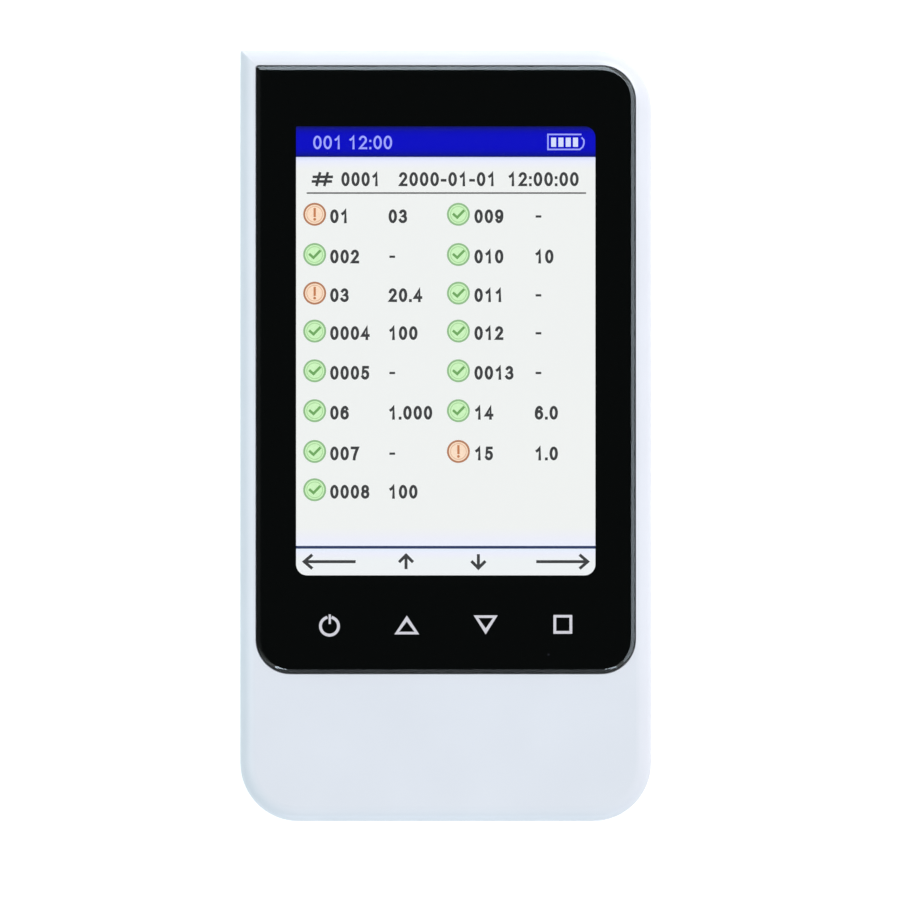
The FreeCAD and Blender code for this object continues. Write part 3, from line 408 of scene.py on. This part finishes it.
# The picture runs on behind the black mask, to these pixels at the sides and at the top and bottom
PAGE_LEFT, PAGE_RIGHT = SCREEN_LEFT - 3, SCREEN_RIGHT + 3
PAGE_TOP, PAGE_BOTTOM = SCREEN_TOP - 3, SCREEN_BOTTOM + 3


def shaded(name, stops):
    """Pixels whose colour changes down the screen: each stop is a pixel row and its colour."""
    build = Build(name)
    height = add_node(build.tree, "ShaderNodeSeparateXYZ", {"Vector": build.place}).outputs["Y"]
    # A fine unevenness, as of the pixel grid behind its diffuser
    ripple = map_range(build.tree, build.noise(PIXEL_GRAIN), (0.0, 1.0), (-0.00002, 0.00002))
    total = math_node(build.tree, "ADD", height, ripple)
    first, last = stops[0][0], stops[-1][0]
    rows = (screen_spot(0, first)[1], screen_spot(0, last)[1])
    places = [((row - first) / (last - first), linear(*colour)) for row, colour in stops]
    down = map_range(build.tree, total, rows, (0.0, 1.0))
    return build.feed("Emission Color", ramp(build.tree, down, places)).glowing()


# The page, its title bar and its rules
PAGE = ((156, (205, 211, 250)), (158.5, (223, 228, 252)), (161, (234, 237, 250)),
        (164, (237, 239, 246)), (169, (239, 241, 239)), (528, (239, 241, 239)),
        (538, (237, 238, 246)), (545, (236, 239, 252)), (550, (230, 239, 252)),
        (554, (237, 238, 249)), (560, (237, 241, 242)), (577, (237, 240, 241)))
TITLE = ((125, (2, 5, 70)), (127.5, (8, 12, 128)), (129.5, (6, 8, 160)), (132, (0, 0, 180)),
         (135, (0, 0, 191)), (147, (0, 0, 192)), (151, (0, 2, 181)), (154, (0, 6, 150)),
         (156.4, (0, 4, 96)))
TITLE_BOTTOM = 156.6
page = Sheet(*PAGE_LAYER)
page.outline(rounded(PAGE_LEFT, PAGE_RIGHT, PAGE_TOP, PAGE_BOTTOM, (2, 12, 12, 12)))
page.finish("screen_page", shaded("screen_page", PAGE))
bar = Sheet(*PRINT_LAYER)
bar.outline(rounded(PAGE_LEFT, PAGE_RIGHT, PAGE_TOP, TITLE_BOTTOM, (2, 12, 0.2, 0.2)))
bar.finish("screen_title_bar", shaded("title_blue", TITLE))
rule = Sheet(*PRINT_LAYER)
rule.outline(oblong(306.4, 586.4, 192.0, 193.4))
rule.finish("screen_rule", lit("rule_grey", (62, 64, 62), 0.08))
foot = Sheet(*PRINT_LAYER)
foot.outline(oblong(PAGE_LEFT, PAGE_RIGHT, 546.2, 549.0))
foot.finish("screen_foot_rule", lit("rule_blue", (50, 61, 98), 0.08))

# Status marks in two columns: the pixel rows of the lines, the pixel column of each side's marks,
# the lines that carry an alert, the radii in pixels, and the colours of disc, ring, thin ring and sign
ROWS = (214.0, 254.3, 293.0, 331.0, 370.8, 410.8, 451.6, 490.0)
SIDES = (314.5, 458.5)
ALERTS = {(0, 0), (0, 2), (1, 6)}
DISC, RING, THIN, POINT = 10.6, (11.5, 9.6), (8.3, 7.5), 1.4
MARKS = {
    "screen_ticks": ((205, 244, 190), (146, 188, 138), (168, 214, 152), (112, 166, 96)),
    "screen_alerts": ((250, 222, 196), (180, 124, 92), (226, 182, 150), (196, 126, 84)),
}
for name, colours in MARKS.items():
    alert = name == "screen_alerts"
    discs, rings, thins, signs = (Sheet(*PRINT_LAYER), Sheet(*RING_LAYER), Sheet(*RING_LAYER),
                                  Sheet(*SIGN_LAYER))
    for side, u in enumerate(SIDES):
        for row, v in enumerate(ROWS[:8 - side]):
            if ((side, row) in ALERTS) != alert:
                continue
            discs.outline(circle(u, v, DISC))
            rings.ribbon(circle(u, v, RING[0]), circle(u, v, RING[1]))
            thins.ribbon(circle(u, v, THIN[0]), circle(u, v, THIN[1]))
            if alert:
                signs.stroke([(u, v - 5.2), (u, v + 1.6)], 2.3)
                signs.outline(circle(u, v + 5.0, POINT, 14))
            else:
                signs.stroke([(u - 4.6, v + 0.2), (u - 1.2, v + 3.2), (u + 5.0, v - 3.2)], 2.5)
    for sheet, part, colour, spread in zip((discs, rings, thins, signs), ("disc", "ring", "thin", "sign"),
                                           colours, (0.04, 0.05, 0.05, 0.05)):
        sheet.finish(name + "_" + part, lit(name + "_" + part, colour, spread, 2200.0))

# Plain numbers where the photograph has words and readings: the top row, then the lines, each with its
# left edge in pixels. None is a short dash.
HEAD_ROW, HEAD_HEIGHT, HEAD_WEIGHT = 178.8, 14.2, 2.7
HEADS = (("#", 311.5, 2.0), ("0001", 341.2, 0.96), ("2000-01-01", 398.8, 1.0), ("12:00:00", 508, 1.01))
LINE_DROP, LINE_HEIGHT, LINE_WEIGHT = 2.0, 13.9, 2.8
DASH_LEFT, DASH_RIGHT, DASH_DROP, DASH_WEIGHT = 2, 5.4, 2.2, 2.3
COLUMNS = (
    (330, ("01", "002", "03", "0004", "0005", "06", "007", "0008"),
     388.5, ("03", None, "20.4", "100", None, "1.000", None, "100")),
    (474.5, ("009", "010", "011", "012", "0013", "14", "15"),
     535, (None, "10", None, None, None, "6.0", "1.0")),
)
figures = Sheet(*PRINT_LAYER)
for words, left, spread in HEADS:
    figures.text(words, left, HEAD_ROW, HEAD_HEIGHT, HEAD_WEIGHT, spread)
for label_left, labels, value_left, values in COLUMNS:
    for row, label, value in zip(ROWS, labels, values):
        figures.text(label, label_left, row + LINE_DROP, LINE_HEIGHT, LINE_WEIGHT)
        if value:
            figures.text(value, value_left, row + LINE_DROP, LINE_HEIGHT, LINE_WEIGHT)
        else:
            figures.stroke([(value_left + DASH_LEFT, row + DASH_DROP),
                            (value_left + DASH_RIGHT, row + DASH_DROP)], DASH_WEIGHT)
# Arrows where the soft keys have words: two that lie along the row, and two upright ones
ARROW_ROW, ARROW_WEIGHT = 562, 3.0
for tip, tail in ((302, 354), (590, 538)):
    way = 1 if tail > tip else -1
    figures.stroke([(tip + way * 3, ARROW_ROW), (tail, ARROW_ROW)], ARROW_WEIGHT)
    figures.stroke([(tip + way * 9, ARROW_ROW - 6), (tip + way * 2, ARROW_ROW),
                    (tip + way * 9, ARROW_ROW + 6)], ARROW_WEIGHT)
for u, way in ((406, 1), (478.5, -1)):
    figures.stroke([(u, ARROW_ROW - way * 6), (u, ARROW_ROW + way * 6)], ARROW_WEIGHT)
    figures.stroke([(u - 6, ARROW_ROW - way * 0.5), (u, ARROW_ROW - way * 6.5),
                    (u + 6, ARROW_ROW - way * 0.5)], ARROW_WEIGHT)
figures.finish("screen_figures", lit("figure_grey", (62, 63, 64), 0.1))

# The clock and the battery sign in the title bar
clock = Sheet(*RING_LAYER)
clock.text("001 12:00", 313, 142, 13.6, 2.0, 1.02)
clock.stroke([(581.0, 134.0), (548.2, 134.0), (548.2, 149.0), (580.0, 149.0), (583.0, 146.6),
              (584.2, 143.4), (584.2, 139.6), (582.4, 137.6)], 1.5)
clock.finish("screen_clock", lit("clock_blue", (158, 164, 255)))
charge = Sheet(*RING_LAYER)
for n in range(4):
    left = 551.4 + n * 7.3
    charge.outline(oblong(left, left + 5.0, 137.2, 146.4))
charge.finish("screen_charge", lit("charge_white", (214, 222, 255)))

# Key icons and the light-sensor dot, printed on the underside of the glass, in pixels of the photograph
GLASS_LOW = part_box("cover_glass")[0][2]
UNDER_GLASS = (GLASS_LOW + 0.00001, GLASS_LOW + 0.00004, spot)


def triangle(middle, tip, base, half):
    """The outer and inner outlines of a triangle, from its tip, its base line and half its width."""
    way = 1 if base > tip else -1
    outer = [(middle, tip), (middle - half, base), (middle + half, base)]
    inner = [(middle, tip + way * 6.0), (middle - half + 4.7, base - way * 2.6),
             (middle + half - 4.7, base - way * 2.6)]
    return outer, inner


# The icons' glow is painted light: it stands in for the lamplight that falls on the white print through
# the glass.
icons = Sheet(*UNDER_GLASS)
icons.stroke(bend(329.7, 625.8, 9.0, 9.0, -68, 248, 44), 2.9)
icons.stroke([(330.0, 615.2), (330.0, 622.6)], 2.2)
icons.ribbon(*triangle(406.9, 615.2, 634.0, 12.4))
icons.ribbon(*triangle(485.6, 634.0, 615.0, 12.0))
icons.ribbon(oblong(553.2, 572.0, 614.6, 633.4), oblong(556.0, 569.2, 617.2, 630.6))
icons.finish("key_icons", lit("icon_painted_glow", (204, 204, 212)), "black_print")
# The dot's faint glow is painted light, in place of the lamplight on the dark print.
dot = Sheet(*UNDER_GLASS)
dot.outline(circle(548.3, 654.2, 1.1, 16))
dot.finish("light_sensor_dot", lit("dot_painted_glow", (34, 35, 42)), "black_print")

# The two screws that close the case, sunk in their holes in the back
SCREW_X, SCREW_Y, SCREW_SEAT = 0.030, -0.046, 0.0048
HEAD_RADIUS, HEAD_TALL = 0.00155, 0.0011
SHANK_RADIUS, SHANK_LONG = 0.0008, 0.006
CROSS_LONG, CROSS_HALF, CROSS_DEEP, CROSS_TAPER = 0.00085, 0.00022, 0.0006, 0.8
# How many sides stand for round
ROUND = 48
# The head from its seat to its top: radius, and height as a share of the whole
PROFILE = ((SHANK_RADIUS, 0.0), (HEAD_RADIUS, 0.0), (HEAD_RADIUS, 0.55), (HEAD_RADIUS * 0.93, 0.82),
           (HEAD_RADIUS * 0.78, 0.96), (HEAD_RADIUS * 0.68, 1.0))


def screw(name, x, y):
    """A pan head with a crossed recess, facing the back, on its shank."""
    bm = bmesh.new()
    rings = [[bm.verts.new((u, v, SCREW_SEAT - share * HEAD_TALL)) for u, v in circle(x, y, radius, ROUND)]
             for radius, share in PROFILE]
    shank = [bm.verts.new((v.co.x, v.co.y, SCREW_SEAT + SHANK_LONG)) for v in rings[0]]
    for a, b in zip([shank] + rings, rings):
        for n in range(ROUND):
            m = (n + 1) % ROUND
            bm.faces.new((a[n], b[n], b[m], a[m]))
    bm.faces.new(shank)
    corners = []
    for quarter in range(4):
        turn = Matrix.Rotation(quarter * math.pi / 2, 2)
        for u, v in ((CROSS_HALF, CROSS_HALF), (CROSS_LONG, CROSS_HALF), (CROSS_LONG, -CROSS_HALF)):
            corners.append(turn @ Vector((u, v)))
    top = SCREW_SEAT - HEAD_TALL
    mouth = [bm.verts.new((x + c.x, y + c.y, top)) for c in corners]
    bottom = [bm.verts.new((x + c.x * CROSS_TAPER, y + c.y * CROSS_TAPER, top + CROSS_DEEP))
              for c in corners]
    edges = [bm.edges.get((rings[-1][n], rings[-1][(n + 1) % ROUND])) for n in range(ROUND)]
    for n in range(len(corners)):
        m = (n + 1) % len(corners)
        bm.faces.new((mouth[n], mouth[m], bottom[m], bottom[n]))
        edges.append(bm.edges.get((mouth[n], mouth[m])))
    bm.faces.new(bottom)
    bmesh.ops.triangle_fill(bm, edges=edges, use_beauty=True)
    bmesh.ops.recalc_face_normals(bm, faces=bm.faces)
    mesh = bpy.data.meshes.new(name)
    bm.to_mesh(mesh)
    bm.free()
    for face in mesh.polygons:
        face.use_smooth = len(face.vertices) == 4
    piece(name, mesh, dress["steel"])


screw("case_screw_left", -SCREW_X, SCREW_Y)
screw("case_screw_right", SCREW_X, SCREW_Y)

# The ground under the part
FLOOR_HALF, FLOOR_TOP = 4.0, -0.0002
mesh = bpy.data.meshes.new("floor")
corners = oblong(-FLOOR_HALF, FLOOR_HALF, -FLOOR_HALF, FLOOR_HALF)
mesh.from_pydata([(x, y, FLOOR_TOP) for x, y in corners], [], [(0, 1, 2, 3)])
floor = bpy.data.objects.new("floor", mesh)
bpy.context.collection.objects.link(floor)
# Paper that is white, and dark far out on the left, so that the bevel on that side stays dark
paper = Build("floor_paper")
across = add_node(paper.tree, "ShaderNodeSeparateXYZ", {"Vector": paper.place}).outputs["X"]
shade = map_range(paper.tree, across, (-1.1, -0.6), (0.1, 0.8))
paper.feed("Base Color", shade).set(Roughness=0.9, Specular_IOR_Level=0.1)
# It glows for the camera, through clear pieces and in mirrored light, and lights nothing else
FLOOR_GLOW = 0.7
rays = add_node(paper.tree, "ShaderNodeLightPath", {}).outputs
seen = math_node(paper.tree, "MAXIMUM", rays["Is Camera Ray"], rays["Is Transmission Ray"])
mirrored = math_node(paper.tree, "MULTIPLY", rays["Is Glossy Ray"], shade)
share = math_node(paper.tree, "MAXIMUM", seen, mirrored)
strength = math_node(paper.tree, "MULTIPLY", share, FLOOR_GLOW)
glow = add_node(paper.tree, "ShaderNodeEmission", {"Color": (1.0, 1.0, 1.0, 1.0), "Strength": strength})
both = add_node(paper.tree, "ShaderNodeAddShader",
                {0: paper.shader.outputs["BSDF"], 1: glow.outputs["Emission"]})
paper.tree.links.new(both.outputs[0], paper.tree.nodes["Material Output"].inputs["Surface"])
floor.data.materials.append(paper.material)

# The room: pale all round, dark straight above, where a black glass would mirror it
world = bpy.data.worlds.new("room")
bpy.context.scene.world = world
world.use_nodes = True
tree = world.node_tree
back = tree.nodes["Background"]
way = add_node(tree, "ShaderNodeTexCoord", {}).outputs["Generated"]
parts = add_node(tree, "ShaderNodeSeparateXYZ", {"Vector": way}).outputs
up = map_range(tree, parts["Z"], (0.86, 0.985), (0.76, 0.085), interpolation_type="SMOOTHSTEP")
tree.links.new(up, back.inputs["Strength"])
# Cooler from the left than from the right
side = map_range(tree, parts["X"], (-0.9, 0.5), (0.0, 1.0))
tint = ramp(tree, side, [(0.0, (0.66, 0.97, 0.99, 1.0)), (1.0, (0.91, 1.0, 1.0, 1.0))])
tree.links.new(tint, back.inputs["Color"])


def lamp(name, place, size, watts, colour=(1.0, 1.0, 1.0)):
    """An oblong lamp that faces the part."""
    data = bpy.data.lights.new(name, "AREA")
    data.color = colour
    data.shape = "RECTANGLE"
    data.size, data.size_y = size
    data.energy = watts
    made = bpy.data.objects.new(name, data)
    made.location = place
    made.rotation_euler = (Vector((0, 0, 0.02)) - Vector(place)).to_track_quat("-Z", "Y").to_euler()
    bpy.context.collection.objects.link(made)


# Lamps: place, size, and watts
lamp("key_lamp", (0.55, 0.7, 1.2), (0.6, 0.6), 9.6)
lamp("fill_lamp", (-0.8, 0.1, 1.1), (0.5, 0.8), 2.1)
# Low strips that the glass's bevel mirrors on the right, at the bottom and at the top
COOL = (0.72, 0.86, 1.0)
lamp("right_strip", (0.5, 0.0, 0.019), (1.0, 0.034), 0.22, COOL)
lamp("low_strip", (0.0, -0.52, 0.019), (0.6, 0.034), 0.55, COOL)
lamp("top_strip", (0.0, 0.56, 0.019), (1.0, 0.034), 0.45, COOL)

# The camera, straight above, at the distance where a pixel at the case's widest outline has its size.
# That outline lies this far below the case's front.
EDGE_DROP = 0.0026
lens = bpy.data.cameras.new("camera")
lens.sensor_width = 36.0
lens.lens = 300.0
lens.clip_start = 0.05
lens.clip_end = 20.0
camera = bpy.data.objects.new("camera", lens)
outline_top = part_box("front_shell")[1][2] - EDGE_DROP
distance = PIXEL * PIXELS * lens.lens / lens.sensor_width
camera.location = (*spot(PIXELS / 2, PIXELS / 2), outline_top + distance)
camera.rotation_euler = (0.0, 0.0, 0.0)
bpy.context.collection.objects.link(camera)
bpy.context.scene.camera = camera
bpy.context.scene.view_settings.view_transform = "Standard"
